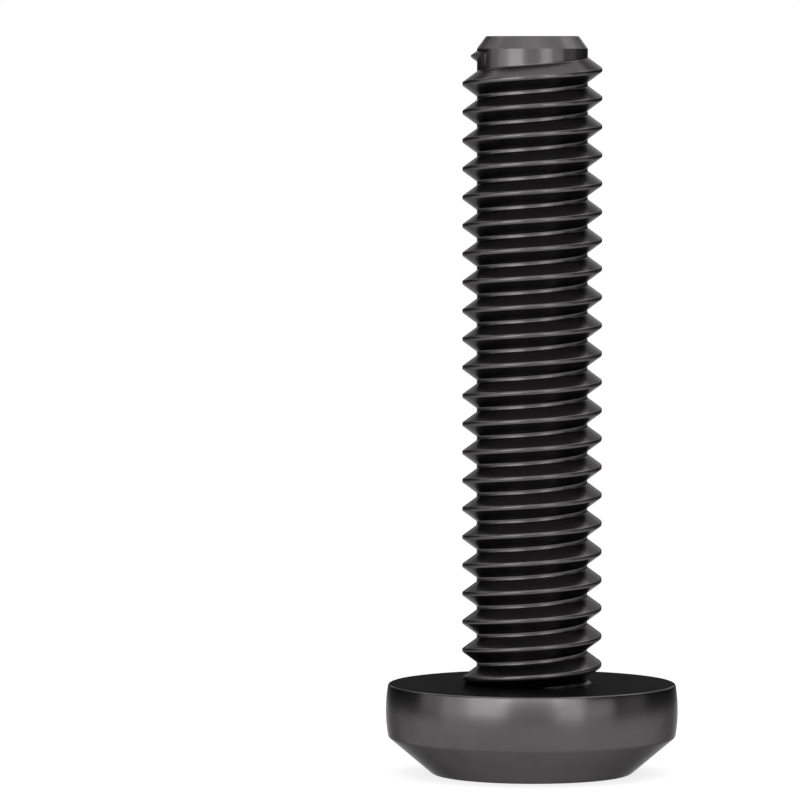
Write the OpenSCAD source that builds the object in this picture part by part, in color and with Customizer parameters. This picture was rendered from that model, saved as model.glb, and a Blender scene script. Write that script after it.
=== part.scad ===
// Furniture connector bolt: a wide, low head with a bevelled flat face and a hex socket,
// and a shank that is threaded from the head to its chamfered point. One piece of steel.
// Frame: origin at the centre of the flat face, +Z along the shank to the point.

/* [Head] */
// Largest diameter of the head, half way up its barrelled side
head_d = 13.13; // [11:0.05:18]
// Height of the head, from the flat face to the bearing face
head_h = 4.06; // [3.7:0.02:6]
// Diameter of the flat face, up to the start of the bevel
face_d = 8.9; // [7:0.05:10.5]
// Height of the bevel between the flat face and the side
bevel_h = 1.68; // [1:0.02:2.4]
// How far the side bulges beyond its two edges
side_crown = 0.11; // [0.02:0.01:0.3]
// Radius of the edge between the flat face and the bevel
face_edge_r = 0.35; // [0.1:0.05:0.8]
// Radius of the edge between the bevel and the side
bevel_edge_r = 0.2; // [0.05:0.05:0.5]
// Radius of the edge between the side and the bearing face
rim_r = 0.2; // [0.05:0.05:0.3]

/* [Socket] */
// Width of the hex socket across its flats
socket_af = 4.2; // [3.4:0.05:5]
// Depth of the socket's walls at the corners of the hex
socket_depth = 2.2; // [1.5:0.05:2.4]
// Included angle of the socket's conical floor
floor_angle = 130; // [118:1:150]
// Width of the countersink round the corners of the hex
mouth_rim = 0.13; // [0.05:0.01:0.4]
// Included angle of the countersink
mouth_angle = 120; // [90:1:140]

/* [Shank] */
// Length of the shank, from the bearing face to the point
shank_l = 29.04; // [14:0.5:60]
// Diameter of the flat end of the point
point_d = 4.15; // [3:0.05:4.7]
// Height of the chamfer that leads to the point
point_h = 0.56; // [0.2:0.02:0.6]
// Height of the fillet under the head
neck_h = 0.08; // [0.04:0.02:0.4]
// Width of bare bearing face that the fillet takes outside the thread
neck_rim = 0.07; // [0.03:0.01:0.3]

/* [Thread] */
// Diameter over the crests of the thread
thread_d = 6.26; // [5.8:0.02:6.6]
// Pitch of the right-hand thread
thread_pitch = 1.27; // [1:0.01:1.6]
// Depth of the groove below the crests
thread_depth = 0.65; // [0.45:0.01:0.72]
// Width of the flat on each crest
crest_w = 0.12; // [0.05:0.01:0.3]
// Width of the flat at the bottom of the groove
root_w = 0.13; // [0.05:0.01:0.3]
// Height of the lowest crest above the bearing face, on the +X side
first_crest = 0.867; // [0.5:0.01:1.4]
// Length of shank left bare above the end of the thread
bare_tip_l = 0.7; // [0.65:0.01:2]
// Turns over which the ridge shrinks before its end
runout_turns = 0.38; // [0.2:0.02:2]

/* [Hidden] */
steel_black = [0.13, 0.13, 0.14];
$fn = 96;

// Segments of the side's bulge, of each rounded edge and of one turn of the thread
side_segments = 6;
edge_segments = 4;
turn_segments = 40;
// Depth by which one volume enters another, so that no two faces coincide
sink = 0.25;
// Share of its full size that the ridge still has where it ends
runout_end = 0.08;

edge_radius = head_d / 2 - side_crown;
minor_d = thread_d - 2 * thread_depth;
neck_d = thread_d + 2 * neck_rim;
neck_slope = neck_h / ((neck_d - minor_d) / 2);
tip_z = head_h + shank_l;

socket_corner_r = socket_af / 2 / cos(30);
floor_z = socket_depth + socket_corner_r / tan(floor_angle / 2);
mouth_r = socket_corner_r + mouth_rim;

// The ridge is swept in steps. Step 0 has its crest on the +X side, first_crest above the head.
flank_w = (thread_pitch - crest_w - root_w) / 2;
ridge_w = thread_pitch - root_w;
first_step = -ceil(turn_segments * (first_crest + ridge_w / 2 + sink) / thread_pitch);
last_step = floor(turn_segments * (shank_l - bare_tip_l - first_crest) / thread_pitch);
runout_steps = turn_segments * runout_turns;
step_count = last_step - first_step;
rod_z = crest_z(first_step) - ridge_w / 2 - sink;

function unit(v) = v / norm(v);

// Arc of radius r that rounds corner b of a path from a over b to c
function rounded(a, b, c, r) =
    let (
        to_a = unit(a - b),
        to_c = unit(c - b),
        half = acos(to_a * to_c) / 2,
        centre = b + unit(to_a + to_c) * r / sin(half),
        from = unit(b + to_a * r / tan(half) - centre),
        to = unit(b + to_c * r / tan(half) - centre)
    )
    [for (i = [0 : edge_segments]) centre + r * unit(from + (to - from) * i / edge_segments)];

// Point of the barrelled side, from t = 0 at the bevel to t = 1 at the bearing face
function side_point(t) =
    [
        edge_radius + side_crown * (1 - pow(2 * t - 1, 2)),
        bevel_h + (head_h - bevel_h) * t
    ];

// Half outline of the head and the fillet above it, as [radius, height]
function head_outline() =
    let (
        step = 1 / side_segments,
        face_edge = [face_d / 2, 0],
        inner_r = minor_d / 2 - sink
    )
    concat(
        [[0, 0]],
        rounded([0, 0], face_edge, side_point(0), face_edge_r),
        rounded(face_edge, side_point(0), side_point(step), bevel_edge_r),
        [for (i = [1 : side_segments - 1]) side_point(i * step)],
        rounded(side_point(1 - step), side_point(1), [0, head_h], rim_r),
        [
            [neck_d / 2, head_h],
            [inner_r, head_h + neck_slope * (neck_d / 2 - inner_r)],
            [0, head_h + neck_slope * (neck_d / 2 - inner_r)]
        ]
    );

function crest_z(s) = head_h + first_crest + thread_pitch * s / turn_segments;

function ring_point(s, r, z) =
    let (angle = 360 * s / turn_segments)
    [r * cos(angle), r * sin(angle), z];

// Share of its full size that the ridge has at step s
function ridge_share(s) =
    let (left = (last_step - s) / runout_steps)
    left >= 1 ? 1 : runout_end + (1 - runout_end) * left;

// Section of the ridge at step s: lower root, two ends of the crest, upper root
function ridge_section(s) =
    let (
        share = ridge_share(s),
        root_r = minor_d / 2,
        crest_r = root_r + share * thread_depth,
        crest_half = share * crest_w / 2,
        root_half = crest_half + share * flank_w,
        z = crest_z(s)
    )
    [
        ring_point(s, root_r, z - root_half),
        ring_point(s, crest_r, z - crest_half),
        ring_point(s, crest_r, z + crest_half),
        ring_point(s, root_r, z + root_half)
    ];

// Ring of points round the shank, at the angles of the steps from s on
function ring(s, r, z) = [for (i = [0 : turn_segments - 1]) ring_point(s + i, r, z)];

module head() {
    rotate_extrude()
        polygon(head_outline());
}

// Hex with a conical floor, and a countersink at its mouth
module socket() {
    intersection() {
        translate([0, 0, -sink])
            cylinder(r = socket_corner_r, h = floor_z + sink, $fn = 6);
        union() {
            translate([0, 0, -2 * sink])
                cylinder(r = mouth_r, h = socket_depth + 2 * sink);
            translate([0, 0, socket_depth])
                cylinder(r1 = mouth_r, r2 = 0, h = mouth_r / tan(floor_angle / 2));
        }
    }
    translate([0, 0, -sink])
        cylinder(
            r1 = mouth_r + sink * tan(mouth_angle / 2),
            r2 = 0,
            h = sink + mouth_r / tan(mouth_angle / 2)
        );
}

// Threaded rod as one closed skin: the helical ridge, the groove between its turns,
// the end inside the head, the bare tip and the chamfered point
module threaded_rod() {
    n = turn_segments;
    m = step_count;
    top_step = last_step - n + 1;
    points = concat(
        [for (s = [first_step : last_step]) each ridge_section(s)],
        ring(first_step, minor_d / 2, rod_z),
        ring(top_step, minor_d / 2, tip_z - point_h),
        ring(top_step, point_d / 2, tip_z)
    );
    at = function (i, j) 4 * i + j;
    base = function (i) 4 * (m + 1) + i;
    shoulder = function (i) base(n) + i % n;
    point = function (i) base(2 * n) + i % n;
    faces = concat(
        [
            for (i = [0 : m - 1], j = [0 : 2])
                [at(i, j), at(i, j + 1), at(i + 1, j + 1), at(i + 1, j)]
        ],
        [for (i = [0 : m - n - 1]) [at(i, 3), at(i + n, 0), at(i + n + 1, 0), at(i + 1, 3)]],
        [for (i = [0 : n - 2]) [base(i), at(i, 0), at(i + 1, 0), base(i + 1)]],
        [[base(n - 1), at(n - 1, 0), at(n, 0), at(0, 3), at(0, 0), base(0)]],
        [[at(0, 3), at(0, 2), at(0, 1), at(0, 0)]],
        [[at(m, 0), at(m, 1), at(m, 2), at(m, 3)]],
        [
            for (i = [0 : n - 2])
                [at(m - n + 1 + i, 3), shoulder(i), shoulder(i + 1), at(m - n + 2 + i, 3)]
        ],
        [[at(m - n + 1, 3), at(m - n, 3), at(m, 0), at(m, 3), shoulder(n - 1), shoulder(0)]],
        [for (i = [0 : n - 1]) [shoulder(i), point(i), point(i + 1), shoulder(i + 1)]],
        [[for (i = [0 : n - 1]) base(i)]],
        [[for (i = [n - 1 : -1 : 0]) point(i)]]
    );
    polyhedron(points, faces);
}

module bolt() {
    color(steel_black)
        difference() {
            union() {
                head();
                threaded_rod();
            }
            socket();
        }
}

bolt();
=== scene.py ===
"""Looks of a furniture connector bolt: satin black steel, standing on its head.

The bolt is one closed mesh, laid out in columns round its axis from the socket's floor, over the
head and along the thread to the point. Sizes of the bolt and of the camera are in millimetres,
those of the finish, the floor and the lamps in metres. Angles given as numbers are in degrees.
"""

import math

import bmesh
import bpy
import numpy as np
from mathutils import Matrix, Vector


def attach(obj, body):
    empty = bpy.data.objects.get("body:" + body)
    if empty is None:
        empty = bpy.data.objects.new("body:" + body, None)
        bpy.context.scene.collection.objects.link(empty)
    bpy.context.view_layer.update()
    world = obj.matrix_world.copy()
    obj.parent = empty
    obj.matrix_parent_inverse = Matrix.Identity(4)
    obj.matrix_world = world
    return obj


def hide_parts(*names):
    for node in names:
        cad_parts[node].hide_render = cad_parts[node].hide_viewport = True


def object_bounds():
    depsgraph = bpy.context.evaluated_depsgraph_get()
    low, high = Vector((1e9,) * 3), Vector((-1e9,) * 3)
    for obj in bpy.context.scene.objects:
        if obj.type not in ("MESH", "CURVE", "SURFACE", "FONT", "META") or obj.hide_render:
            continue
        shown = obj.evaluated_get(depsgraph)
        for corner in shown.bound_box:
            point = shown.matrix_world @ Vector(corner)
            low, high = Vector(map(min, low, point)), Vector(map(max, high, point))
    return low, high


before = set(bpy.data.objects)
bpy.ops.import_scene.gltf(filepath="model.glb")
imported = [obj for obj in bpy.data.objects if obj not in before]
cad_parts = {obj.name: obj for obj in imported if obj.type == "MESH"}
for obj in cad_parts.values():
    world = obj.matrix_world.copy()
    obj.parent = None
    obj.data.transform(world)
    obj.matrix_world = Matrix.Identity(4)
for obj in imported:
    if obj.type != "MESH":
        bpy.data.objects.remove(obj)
cad_low, cad_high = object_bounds()

MM = 0.001

# Head
HEAD_D = (cad_high.x - cad_low.x) / MM
HEAD_H = 4.06
FACE_D = 8.9
BEVEL_H = 1.68
SIDE_CROWN = 0.11
FACE_EDGE_R = 0.35
BEVEL_EDGE_R = 0.2
RIM_R = 0.1

# Hex socket with a conical floor and a countersunk mouth
SOCKET_AF = 4.2
SOCKET_DEPTH = 2.2
HEX_SECTOR = math.pi / 3
SOCKET_CORNER_R = SOCKET_AF / 2 / math.cos(HEX_SECTOR / 2)
CONE_ANGLE = 130
CONE_SLOPE = 1 / math.tan(math.radians(CONE_ANGLE / 2))
CONE_TOP_Z = SOCKET_DEPTH + SOCKET_CORNER_R * CONE_SLOPE
MOUTH_RIM = 0.13
MOUTH_R = SOCKET_CORNER_R + MOUTH_RIM
MOUTH_ANGLE = 120
MOUTH_SLOPE = 1 / math.tan(math.radians(MOUTH_ANGLE / 2))

# Shank
TIP_Z = cad_high.z / MM
POINT_D = 4.15
POINT_R = POINT_D / 2
POINT_H = 0.56
POINT_EDGE_R = 0.08
NECK_H = 0.02
NECK_R = 3.2

# Thread. Its turns are counted from the lowest crest on the +X side.
PITCH = 1.27
THREAD_D = 6.26
DEPTH = 0.65
MINOR_R = THREAD_D / 2 - DEPTH
CREST_W = 0.15
ROOT_W = 0.17
CREST_EDGE_R = 0.08
ROOT_EDGE_R = 0.06
FIRST_CREST_H = 0.867
FIRST_CREST_Z = HEAD_H + FIRST_CREST_H
RUNOUT_START = 21.34
RUNOUT_END = 21.6

# Mesh. The thread is laid out some turns past both ends of the shank and then cut to it.
COLUMNS = 144
ANGLES = 2 * math.pi * np.arange(COLUMNS) / COLUMNS
TURNS_BELOW = 3
TURNS_ABOVE = 2
WELD = 0.001
SHARP_ANGLE = 32

# Segments of the rounded edges
FACE_EDGE_SEGMENTS = 6
BEVEL_EDGE_SEGMENTS = 5
RIM_SEGMENTS = 6
RIDGE_EDGE_SEGMENTS = 3
POINT_EDGE_SEGMENTS = 4

# Rings of the socket, as shares of its cone, its walls and its countersink
CONE_RINGS = (0.06, 0.25, 0.5, 0.75, 0.97)
WALL_RINGS = (0, 0.04, 0.35, 0.7, 1)
MOUTH_RINGS = (0.4, 0.8, 1)

# Rings of the head: on the flat face by their distance from the mouth, the last from the bevel, on
# the bevel and the side as shares of them, on the bearing face by radius, the last from the neck
FACE_RINGS = (0.04, 0.3, 0.8, 1.3)
LAST_FACE_RING = 0.25
BEVEL_RINGS = (0.12, 0.35, 0.65, 0.9)
SIDE_STEP = 0.1
BEARING_RINGS = (6.1, 5.4, 4.6, 3.8)
LAST_BEARING_RING = 0.1

# Rows set in from the ends of each flank, which keep its shading flat
FLANK_INSET = 0.03

# Rings of the point, as shares of its chamfer and of its end's radius
CHAMFER_RINGS = (0.06, 0.5, 0.8)
POINT_RINGS = (0.9, 0.5, 0.1)

# Finish
STEEL_DARK = (0.084, 0.08, 0.0815, 1)
STEEL_LIGHT = (0.095, 0.0905, 0.092, 1)
EDGE_TINT = (0.4, 0.4, 0.4, 1)
ROUGHNESS = (0.21, 0.27)
NOISE_RANGE = (0.3, 0.7)
MOTTLE = {"Scale": 900, "Detail": 4}
GRAIN = {"Scale": 9000, "Detail": 3}
GRAIN_BUMP = {"Strength": 0.04, "Distance": 0.00002}

# Floor, a hair below the head so that the two don't coincide
FLOOR_R = 0.045
FLOOR_SEGMENTS = 96
FLOOR_DROP = -0.000005
FLOOR_GREY = (0.28, 0.28, 0.28, 1)
FLOOR_GLOW = 0.78

# Surroundings: elevations between which the white sweep fades to the dim room in reflections, and
# the strengths of the room and of the light that falls on the floor from all round
WHITE = (1, 1, 1, 1)
SWEEP_FADE = (-11, 0.5)
ROOM = 0.05
FILL = 0.2

# Lamps: name, azimuth, elevation, distance, width and height, radiance
SOFTBOXES = (
    ("left_softbox", -35.5, 8.5, 0.3, (0.18, 0.134), 3.8),
    ("left_wing_softbox", -64, 6, 0.3, (0.12, 0.12), 1.9),
    ("right_softbox", 30, 7, 0.3, (0.127, 0.134), 2.95),
    ("right_wing_softbox", 56, 2, 0.3, (0.12, 0.07), 1.5),
    ("front_panel", 0, 2, 0.35, (0.22, 0.07), 1.05),
    ("front_softbox", 0, 17, 0.4, (0.36, 0.12), 2.7),
    ("front_top_softbox", 0, 60, 0.5, (0.8, 0.2), 1.0),
    ("left_side_softbox", -87, 6, 0.3, (0.11, 0.1), 0.9),
    ("right_side_softbox", 88, 2, 0.3, (0.14, 0.07), 0.4),
    ("top_softbox", 90, 85, 0.5, (1.0, 1.0), 1.3),
    ("left_top_softbox", -121, 38, 0.5, (0.4, 0.24), 1.2),
    ("right_top_softbox", 121, 39, 0.5, (0.38, 0.24), 1.1),
    ("left_rear_softbox", -162, 19, 0.5, (0.21, 0.21), 0.9),
    ("right_rear_softbox", 156, 20, 0.5, (0.31, 0.23), 1.3),
)

# Camera, with the bolt right of the middle of the picture
CAMERA_DISTANCE = 298.4
CAMERA_Z = 32.82
CAMERA_TILT = 3.072
CAMERA_PAN = 1.137
LEVEL = 90
LENS = 299.9
SENSOR_W = 36
CLIP_START = 10


def along(a, b, shares):
    """Points at the given shares of the way from a to b."""
    a, b = np.array(a), np.array(b)
    return [a + (b - a) * t for t in shares]


def rounded(a, b, c, radius, segments):
    """Points of the arc that rounds corner b of a path from a over b to c."""
    a, b, c = (np.array(p, float) for p in (a, b, c))
    to_a = (a - b) / np.linalg.norm(a - b)
    to_c = (c - b) / np.linalg.norm(c - b)
    half = math.acos(np.dot(to_a, to_c)) / 2
    middle = to_a + to_c
    centre = b + middle / np.linalg.norm(middle) * radius / math.sin(half)
    start = b + to_a * radius / math.tan(half) - centre
    end = b + to_c * radius / math.tan(half) - centre
    points = []
    for i in range(segments + 1):
        p = start + (end - start) * i / segments
        points.append(centre + p / np.linalg.norm(p) * radius)
    return points


def side_point(t):
    """Point of the barrelled side, from t = 0 at the bevel to t = 1 at the bearing face."""
    edge = HEAD_D / 2 - SIDE_CROWN
    return (edge + SIDE_CROWN * (1 - (2 * t - 1) ** 2), BEVEL_H + (HEAD_H - BEVEL_H) * t)


def head_outline():
    """Half outline of the head from the socket's mouth to the neck, as (radius, height)."""
    face_edge = (FACE_D / 2, 0)
    corner = side_point(0)
    rim = side_point(1)
    side_shares = np.arange(SIDE_STEP, 1 - SIDE_STEP / 2, SIDE_STEP)
    points = [(MOUTH_R + d, 0) for d in FACE_RINGS]
    points += [(FACE_D / 2 - LAST_FACE_RING, 0)]
    points += rounded((0, 0), face_edge, corner, FACE_EDGE_R, FACE_EDGE_SEGMENTS)
    points += along(face_edge, corner, BEVEL_RINGS)
    points += rounded(face_edge, corner, side_point(SIDE_STEP), BEVEL_EDGE_R, BEVEL_EDGE_SEGMENTS)
    points += [side_point(t) for t in side_shares]
    points += rounded(side_point(1 - SIDE_STEP), rim, (0, HEAD_H), RIM_R, RIM_SEGMENTS)
    points += [(r, HEAD_H) for r in BEARING_RINGS]
    points += [(NECK_R + LAST_BEARING_RING, HEAD_H), (NECK_R, HEAD_H)]
    return points


def socket_rings():
    """Rings of the socket from near its centre to its mouth, as (radii, heights)."""
    wall = SOCKET_AF / 2 / np.cos(ANGLES % HEX_SECTOR - HEX_SECTOR / 2)
    rim = MOUTH_R - wall
    wall_top = CONE_TOP_Z - wall * CONE_SLOPE
    wall_foot = rim * MOUTH_SLOPE
    rings = [(wall * q, CONE_TOP_Z - wall * q * CONE_SLOPE) for q in CONE_RINGS]
    rings += [(wall, wall_top + (wall_foot - wall_top) * q) for q in WALL_RINGS]
    rings += [(wall + rim * q, rim * (1 - q) * MOUTH_SLOPE) for q in MOUTH_RINGS]
    return rings


def ridge_profile():
    """Section of one pitch of the thread, as (offset from the crest, height above the root)."""
    crest = (CREST_W / 2, DEPTH)
    root = (PITCH / 2 - ROOT_W / 2, 0)
    crest_arc = rounded((0, DEPTH), crest, root, CREST_EDGE_R, RIDGE_EDGE_SEGMENTS)
    root_arc = rounded(crest, root, (PITCH / 2, 0), ROOT_EDGE_R, RIDGE_EDGE_SEGMENTS)
    flank = root_arc[0] - crest_arc[-1]
    inset = flank / np.linalg.norm(flank) * FLANK_INSET
    half = crest_arc + [crest_arc[-1] + inset, root_arc[0] - inset] + root_arc
    upper = [(0, DEPTH)] + [tuple(p) for p in half]
    lower = [(-d, h) for d, h in reversed(upper[1:])]
    return lower + upper


def ridge_share(turns):
    """Share of its full size that the ridge has at each turn."""
    return np.clip((RUNOUT_END - turns) / (RUNOUT_END - RUNOUT_START), 0, 1)


def end_at_neck(radii, heights):
    """Moves each column's points below the fillet under the head to where the column meets it."""
    fillet = HEAD_H + NECK_H * (NECK_R - radii) / (NECK_R - MINOR_R)
    over = heights - fillet
    for i in range(COLUMNS):
        k = int(np.argmax(over[:, i] > 0))
        t = over[k - 1, i] / (over[k - 1, i] - over[k, i])
        radii[:k, i] = radii[k - 1, i] + t * (radii[k, i] - radii[k - 1, i])
        heights[:k, i] = heights[k - 1, i] + t * (heights[k, i] - heights[k - 1, i])


def thread_grid():
    """Grid of the shank's skin, rows along the helix and columns round it.

    Returns the radii, the heights and the number of rows to a turn.
    """
    profile = ridge_profile()
    last_turn = int((TIP_Z - FIRST_CREST_Z) / PITCH) + TURNS_ABOVE
    shoulder = TIP_Z - POINT_H
    radii, heights = [], []
    for turn in range(-TURNS_BELOW, last_turn):
        turns = turn + np.arange(COLUMNS) / COLUMNS
        crest_z = FIRST_CREST_Z + PITCH * turns
        share = ridge_share(turns)
        rows = [(np.full(COLUMNS, MINOR_R), crest_z - PITCH / 2)]
        rows += [(MINOR_R + share * h, crest_z + share * d) for d, h in profile]
        for r, z in rows:
            radii.append(np.where(z >= shoulder, MINOR_R, r))
            heights.append(np.minimum(z, shoulder))
    radii, heights = np.array(radii), np.array(heights)
    end_at_neck(radii, heights)
    return radii, heights, len(profile) + 1


def tip_outline():
    """Half outline of the point, from the end of the bare tip to near the axis."""
    shoulder = (MINOR_R, TIP_Z - POINT_H)
    edge = (POINT_R, TIP_Z)
    points = [shoulder]
    points += along(shoulder, edge, CHAMFER_RINGS)
    points += rounded(shoulder, edge, (0, TIP_Z), POINT_EDGE_R, POINT_EDGE_SEGMENTS)
    points += [(POINT_R * q, TIP_Z) for q in POINT_RINGS]
    return points


class Skin:
    """Collects rings of points round the axis, and the faces between them."""

    def __init__(self):
        self.points = []
        self.faces = []

    def add_ring(self, radii, heights):
        """Adds one ring of points and returns their indices."""
        first = len(self.points)
        radii = np.broadcast_to(radii, COLUMNS)
        heights = np.broadcast_to(heights, COLUMNS)
        for r, angle, z in zip(radii, ANGLES, heights):
            self.points.append((r * math.cos(angle) * MM, r * math.sin(angle) * MM, z * MM))
        return np.arange(first, first + COLUMNS)

    def add_centre(self, z):
        """Adds a point on the axis and returns its index."""
        self.points.append((0, 0, z * MM))
        return len(self.points) - 1

    def join(self, low, high):
        """Fills the band between two rings."""
        for i in range(COLUMNS):
            j = (i + 1) % COLUMNS
            self.faces.append((low[i], low[j], high[j], high[i]))

    def join_all(self, rings):
        """Fills the bands between rings that follow each other."""
        for low, high in zip(rings, rings[1:]):
            self.join(low, high)

    def join_helix(self, rows, turn_rows):
        """Fills a grid whose last column meets its first one turn further up."""
        for row in range(len(rows) - 1):
            low, high = rows[row], rows[row + 1]
            for i in range(COLUMNS - 1):
                self.faces.append((low[i], low[i + 1], high[i + 1], high[i]))
            above = row + turn_rows
            if above + 1 < len(rows):
                self.faces.append((low[-1], rows[above][0], rows[above + 1][0], high[-1]))

    def close(self, centre, ring):
        """Fills the disc between a point on the axis and a ring."""
        for i in range(COLUMNS):
            self.faces.append((centre, ring[i], ring[(i + 1) % COLUMNS]))


def bolt_mesh():
    """One closed mesh of the whole bolt."""
    skin = Skin()
    below = [skin.add_ring(r, z) for r, z in socket_rings()]
    below += [skin.add_ring(r, z) for r, z in head_outline()]
    skin.close(skin.add_centre(CONE_TOP_Z), below[0])
    skin.join_all(below)
    radii, heights, turn_rows = thread_grid()
    thread = [skin.add_ring(r, z) for r, z in zip(radii, heights)]
    skin.join(below[-1], thread[0])
    skin.join_helix(thread, turn_rows)
    above = [skin.add_ring(r, z) for r, z in tip_outline()]
    skin.join_all(above)
    skin.close(skin.add_centre(TIP_Z), above[-1])

    mesh = bpy.data.meshes.new("bolt_skin")
    mesh.from_pydata(skin.points, [], [tuple(int(i) for i in f) for f in skin.faces])
    work = bmesh.new()
    work.from_mesh(mesh)
    bmesh.ops.remove_doubles(work, verts=work.verts, dist=WELD * MM)
    bmesh.ops.dissolve_degenerate(work, edges=work.edges, dist=WELD * MM)
    bmesh.ops.recalc_face_normals(work, faces=work.faces)
    work.to_mesh(mesh)
    work.free()
    mesh.shade_smooth()
    mesh.set_sharp_from_angle(angle=math.radians(SHARP_ANGLE))
    return mesh


class Nodes:
    """Shorthand for building a node tree."""

    def __init__(self, tree):
        self.tree = tree
        self.tree.nodes.clear()

    def add(self, kind, values=None, **settings):
        """Adds a node, sets its properties and its inputs, and returns it."""
        node = self.tree.nodes.new(kind)
        for name, value in settings.items():
            setattr(node, name, value)
        for name, value in (values or {}).items():
            if isinstance(value, bpy.types.NodeSocket):
                self.tree.links.new(value, node.inputs[name])
            else:
                node.inputs[name].default_value = value
        return node

    def larger(self, first, second):
        """Adds a node for the larger of two values and returns its output."""
        node = self.add("ShaderNodeMath", {0: first, 1: second}, operation="MAXIMUM")
        return node.outputs["Value"]


def black_steel():
    """Satin black finish on steel, a little uneven in tone and gloss."""
    material = bpy.data.materials.new("black_steel")
    material.use_nodes = True
    nodes = Nodes(material.node_tree)
    place = nodes.add("ShaderNodeTexCoord").outputs["Object"]
    mottle = nodes.add("ShaderNodeTexNoise", {"Vector": place, **MOTTLE}).outputs["Fac"]
    grain = nodes.add("ShaderNodeTexNoise", {"Vector": place, **GRAIN}).outputs["Fac"]
    colour = nodes.add("ShaderNodeValToRGB", {"Fac": mottle})
    for i, tone in enumerate((STEEL_DARK, STEEL_LIGHT)):
        colour.color_ramp.elements[i].position = NOISE_RANGE[i]
        colour.color_ramp.elements[i].color = tone
    gloss = nodes.add(
        "ShaderNodeMapRange",
        {
            "Value": grain,
            "From Min": NOISE_RANGE[0],
            "From Max": NOISE_RANGE[1],
            "To Min": ROUGHNESS[0],
            "To Max": ROUGHNESS[1],
        },
    )
    bump = nodes.add("ShaderNodeBump", {"Height": grain, **GRAIN_BUMP})
    surface = nodes.add(
        "ShaderNodeBsdfPrincipled",
        {
            "Base Color": colour.outputs["Color"],
            "Metallic": 1.0,
            "Roughness": gloss.outputs["Result"],
            "Specular Tint": EDGE_TINT,
            "Normal": bump.outputs["Normal"],
        },
    )
    nodes.add("ShaderNodeOutputMaterial", {"Surface": surface.outputs["BSDF"]})
    return material


def floor_finish():
    """White to the eye and in reflections, with shadows, and see-through from beneath."""
    material = bpy.data.materials.new("floor_white")
    material.use_nodes = True
    nodes = Nodes(material.node_tree)
    path = nodes.add("ShaderNodeLightPath").outputs
    seen = nodes.larger(path["Is Camera Ray"], path["Is Glossy Ray"])
    seen = nodes.larger(seen, path["Is Transmission Ray"])
    glow = nodes.add("ShaderNodeMath", {0: seen, 1: FLOOR_GLOW}, operation="MULTIPLY")
    shade = nodes.add("ShaderNodeBsdfDiffuse", {"Color": FLOOR_GREY}).outputs["BSDF"]
    light = nodes.add("ShaderNodeEmission", {"Strength": glow.outputs["Value"]})
    both = nodes.add("ShaderNodeAddShader", {0: shade, 1: light.outputs["Emission"]})
    beneath = nodes.add("ShaderNodeNewGeometry").outputs["Backfacing"]
    clear = nodes.add("ShaderNodeBsdfTransparent").outputs["BSDF"]
    sides = nodes.add("ShaderNodeMixShader", {0: beneath, 1: both.outputs["Shader"], 2: clear})
    nodes.add("ShaderNodeOutputMaterial", {"Surface": sides.outputs["Shader"]})
    return material


def white_floor():
    """Round floor that the bolt stands on."""
    mesh = bpy.data.meshes.new("floor")
    work = bmesh.new()
    bmesh.ops.create_circle(work, cap_ends=True, segments=FLOOR_SEGMENTS, radius=FLOOR_R)
    work.to_mesh(mesh)
    work.free()
    mesh.materials.append(floor_finish())
    floor = bpy.data.objects.new("floor", mesh)
    floor.location.z = FLOOR_DROP
    bpy.context.scene.collection.objects.link(floor)


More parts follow.
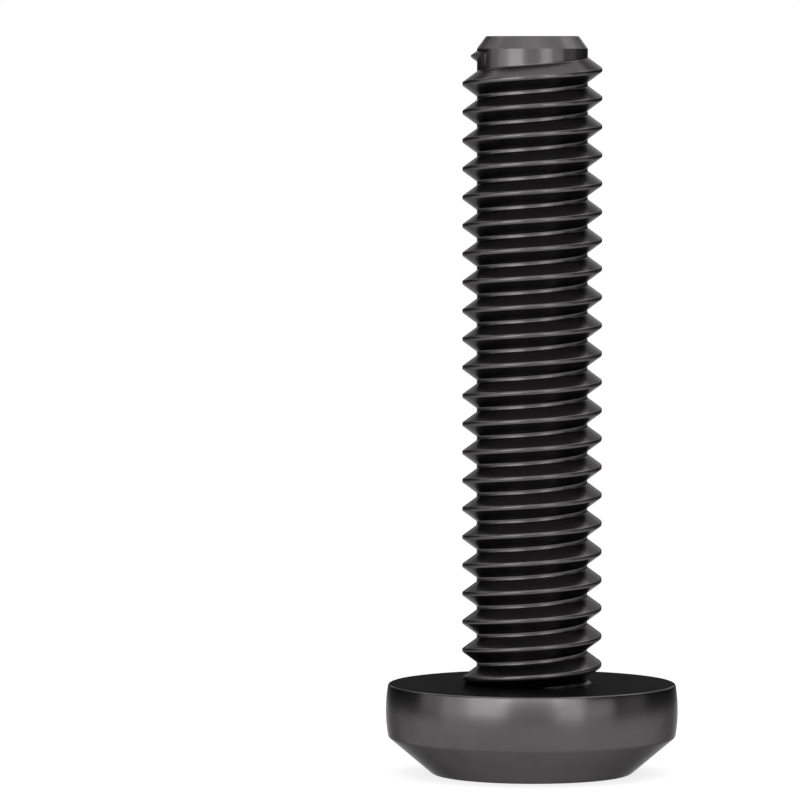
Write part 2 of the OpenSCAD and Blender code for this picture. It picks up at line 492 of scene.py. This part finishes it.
def studio_world():
    """White sweep behind the bolt, which reflections show too, under a dim room."""
    world = bpy.data.worlds.new("studio")
    bpy.context.scene.world = world
    world.use_nodes = True
    nodes = Nodes(world.node_tree)
    way = nodes.add("ShaderNodeTexCoord").outputs["Generated"]
    height = nodes.add("ShaderNodeSeparateXYZ", {"Vector": way}).outputs["Z"]
    sweep = nodes.add(
        "ShaderNodeMapRange",
        {
            "Value": height,
            "From Min": math.sin(math.radians(SWEEP_FADE[0])),
            "From Max": math.sin(math.radians(SWEEP_FADE[1])),
            "To Min": 1,
            "To Max": ROOM,
        },
    )
    path = nodes.add("ShaderNodeLightPath").outputs
    mirrored = nodes.add(
        "ShaderNodeMapRange",
        {
            "Value": nodes.larger(path["Is Glossy Ray"], path["Is Transmission Ray"]),
            "To Min": FILL,
            "To Max": sweep.outputs["Result"],
        },
    )
    strength = nodes.add(
        "ShaderNodeMapRange",
        {"Value": path["Is Camera Ray"], "To Min": mirrored.outputs["Result"], "To Max": 1},
    )
    light = nodes.add(
        "ShaderNodeBackground", {"Color": WHITE, "Strength": strength.outputs["Result"]}
    )
    nodes.add("ShaderNodeOutputWorld", {"Surface": light.outputs["Background"]})


def softbox(name, azimuth, elevation, distance, size, radiance):
    """Area light aimed at the middle of the bolt. Azimuth 0 is in front, positive to the right."""
    data = bpy.data.lights.new(name, "AREA")
    data.shape = "RECTANGLE"
    data.size, data.size_y = size
    data.energy = radiance * math.pi * size[0] * size[1]
    light = bpy.data.objects.new(name, data)
    bpy.context.scene.collection.objects.link(light)
    light.visible_camera = False
    a, e = math.radians(azimuth), math.radians(elevation)
    away = Vector((math.sin(a) * math.cos(e), -math.cos(a) * math.cos(e), math.sin(e)))
    light.location = away * distance + Vector((0, 0, TIP_Z * MM / 2))
    light.rotation_euler = away.to_track_quat("Z", "Y").to_euler()


def camera():
    """Long lens in front of the bolt at the height of its point, turned a little down and left."""
    data = bpy.data.cameras.new("camera")
    data.sensor_width = SENSOR_W
    data.lens = LENS
    data.clip_start = CLIP_START * MM
    view = bpy.data.objects.new("camera", data)
    bpy.context.scene.collection.objects.link(view)
    view.location = Vector((0, -CAMERA_DISTANCE, CAMERA_Z)) * MM
    view.rotation_euler = (math.radians(LEVEL - CAMERA_TILT), 0, math.radians(CAMERA_PAN))
    bpy.context.scene.camera = view


bolt = bpy.data.objects.new("bolt_finish", bolt_mesh())
bpy.context.scene.collection.objects.link(bolt)
bolt.data.materials.append(black_steel())
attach(bolt, "root")
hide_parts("bolt")

white_floor()
studio_world()
for lamp in SOFTBOXES:
    softbox(*lamp)
camera()
bpy.context.scene.view_settings.view_transform = "Standard"
